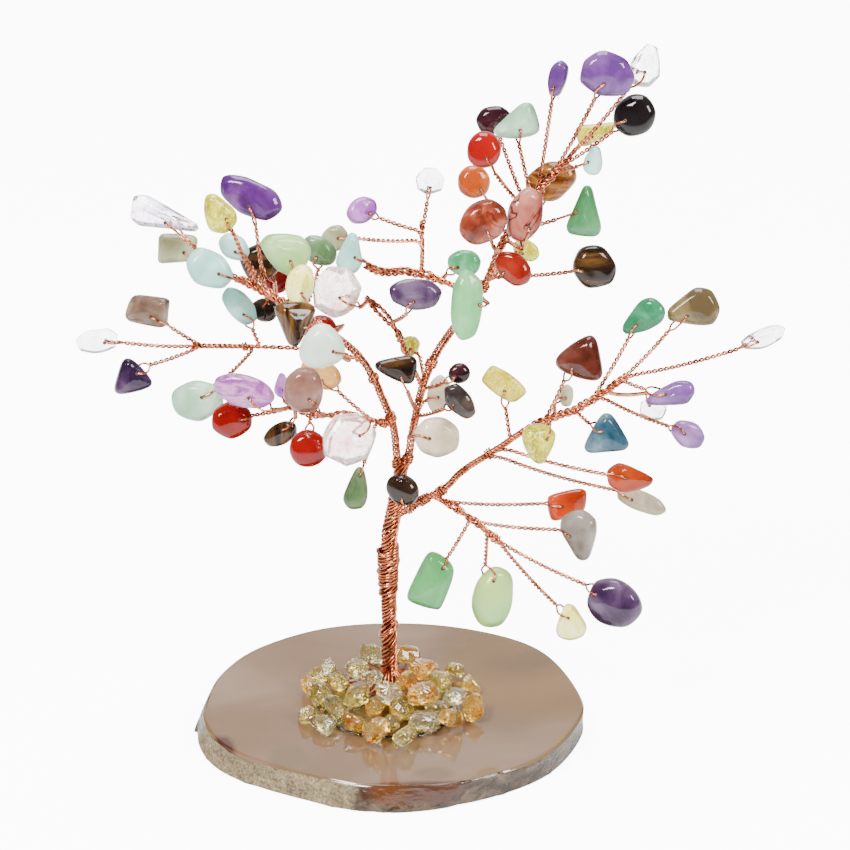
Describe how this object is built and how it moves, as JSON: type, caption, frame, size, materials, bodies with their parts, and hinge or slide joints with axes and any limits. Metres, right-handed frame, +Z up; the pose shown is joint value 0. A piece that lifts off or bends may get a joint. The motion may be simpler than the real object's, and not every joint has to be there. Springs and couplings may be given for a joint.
{
  "type": "gemstone tree ornament",
  "caption": "Table ornament: a tree of twisted copper wire with drilled tumbled gemstones wired to its boughs, glued with stone chips on a polished agate slice.",
  "frame": {"origin": "middle of the agate slice's flat underside", "axes": "+Z up along the trunk, +X to the viewer's right, +Y away from the viewer"},
  "size_m": [0.1576, 0.0786, 0.1634],
  "materials": {
    "agate": "polished top, rough rind",
    "amethyst": "tumbled",
    "aquamarine": "tumbled",
    "green_aventurine": "tumbled",
    "copper_wire": "polished, natural copper colour",
    "blue_agate": "tumbled",
    "carnelian": "tumbled",
    "citrine": "tumbled",
    "clear_quartz": "tumbled, clear",
    "garnet": "tumbled",
    "glue": "clear set glue",
    "hematite": "polished",
    "honey_citrine": "tumbled",
    "jade": "tumbled",
    "red_jasper": "tumbled",
    "labradorite": "polished",
    "moonstone": "tumbled",
    "obsidian": "polished",
    "orange_agate": "tumbled",
    "pale_citrine": "tumbled",
    "prehnite": "tumbled",
    "rose_quartz": "tumbled",
    "serpentine": "tumbled",
    "smoky_quartz": "tumbled",
    "tiger_eye": "polished"
  },
  "bodies": {
    "tree": {"agate_slice": "agate", "amethysts_left": "amethyst", "amethysts_right": "amethyst", "aquamarines": "aquamarine", "aventurines_left": "green_aventurine", "aventurines_right": "green_aventurine", "back_bough": "copper_wire", "back_twigs": "copper_wire", "blue_agate": "blue_agate", "carnelians_left": "carnelian", "carnelians_right": "carnelian", "citrines": "citrine", "clear_chips": "clear_quartz", "far_left_bough": "copper_wire", "far_left_twigs": "copper_wire", "garnets": "garnet", "glue_bed": "glue", "hematite": "hematite", "honey_chips": "honey_citrine", "inner_bough": "copper_wire", "inner_twigs": "copper_wire", "jaspers": "red_jasper", "labradorites": "labradorite", "left_bough": "copper_wire", "left_twigs": "copper_wire", "low_spray_bough": "copper_wire", "low_spray_twigs": "copper_wire", "lower_left_bough": "copper_wire", "lower_left_twigs": "copper_wire", "lower_right_bough": "copper_wire", "lower_right_twigs": "copper_wire", "middle_bough": "copper_wire", "middle_twigs": "copper_wire", "moonstones": "moonstone", "obsidian": "obsidian", "orange_agates": "orange_agate", "pale_chips": "pale_citrine", "prehnites": "prehnite", "quartz_left": "clear_quartz", "quartz_right": "clear_quartz", "root_strands": "copper_wire", "rose_quartz": "rose_quartz", "smoky_quartz": "smoky_quartz", "tiger_eyes_left": "tiger_eye", "tiger_eyes_right": "tiger_eye", "trunk_collar": "copper_wire", "trunk_core": "copper_wire", "upright_bough": "copper_wire", "upright_twigs": "copper_wire"},
    "tiger_eye_hanging_stone": {"tiger_eye_hanging": "tiger_eye"},
    "aventurine_hanging_stone": {"aventurine_hanging": "green_aventurine"},
    "carnelian_hanging_stone": {"carnelian_hanging": "carnelian"},
    "aventurine_drop_stone": {"aventurine_drop": "green_aventurine"},
    "jade_hanging_stone": {"jade_hanging": "jade"},
    "serpentine_hanging_stone": {"serpentine_hanging": "serpentine"},
    "amethyst_hanging_stone": {"amethyst_hanging": "amethyst"},
    "citrine_hanging_stone": {"citrine_hanging": "citrine"}
  },
  "joints": [
    {"name": "tiger_eye_hanging_swing", "type": "hinge", "parent": "tree", "child": "tiger_eye_hanging_stone", "pos_m": [0.04142, 0.00444, 0.11356], "axis": [0.1851, -0.9525, 0.2419], "range_deg": [-25, 25]},
    {"name": "aventurine_hanging_swing", "type": "hinge", "parent": "tree", "child": "aventurine_hanging_stone", "pos_m": [0.01848, -0.00473, 0.1093], "axis": [0.3635, -0.8996, 0.2419], "range_deg": [-25, 25]},
    {"name": "carnelian_hanging_swing", "type": "hinge", "parent": "tree", "child": "carnelian_hanging_stone", "pos_m": [-0.01824, -0.00336, 0.07688], "axis": [0, -0.9703, 0.2419], "range_deg": [-25, 25]},
    {"name": "aventurine_drop_swing", "type": "hinge", "parent": "tree", "child": "aventurine_drop_stone", "pos_m": [-0.0071, 0.00568, 0.06286], "axis": [-0.1851, -0.9525, 0.2419], "range_deg": [-25, 25]},
    {"name": "jade_hanging_swing", "type": "hinge", "parent": "tree", "child": "jade_hanging_stone", "pos_m": [0.0115, -0.00037, 0.0427], "axis": [0, -0.9703, 0.2419], "range_deg": [-25, 25]},
    {"name": "serpentine_hanging_swing", "type": "hinge", "parent": "tree", "child": "serpentine_hanging_stone", "pos_m": [0.02219, 0.00518, 0.03657], "axis": [0.3635, -0.8996, 0.2419], "range_deg": [-25, 18]},
    {"name": "amethyst_hanging_swing", "type": "hinge", "parent": "tree", "child": "amethyst_hanging_stone", "pos_m": [0.04704, 0.00007, 0.03569], "axis": [-0.1851, -0.9525, 0.2419], "range_deg": [-25, 25]},
    {"name": "citrine_hanging_swing", "type": "hinge", "parent": "tree", "child": "citrine_hanging_stone", "pos_m": [0.04046, 0.00871, 0.02487], "axis": [0.1851, -0.9525, 0.2419], "range_deg": [-25, 15]}
  ]
}
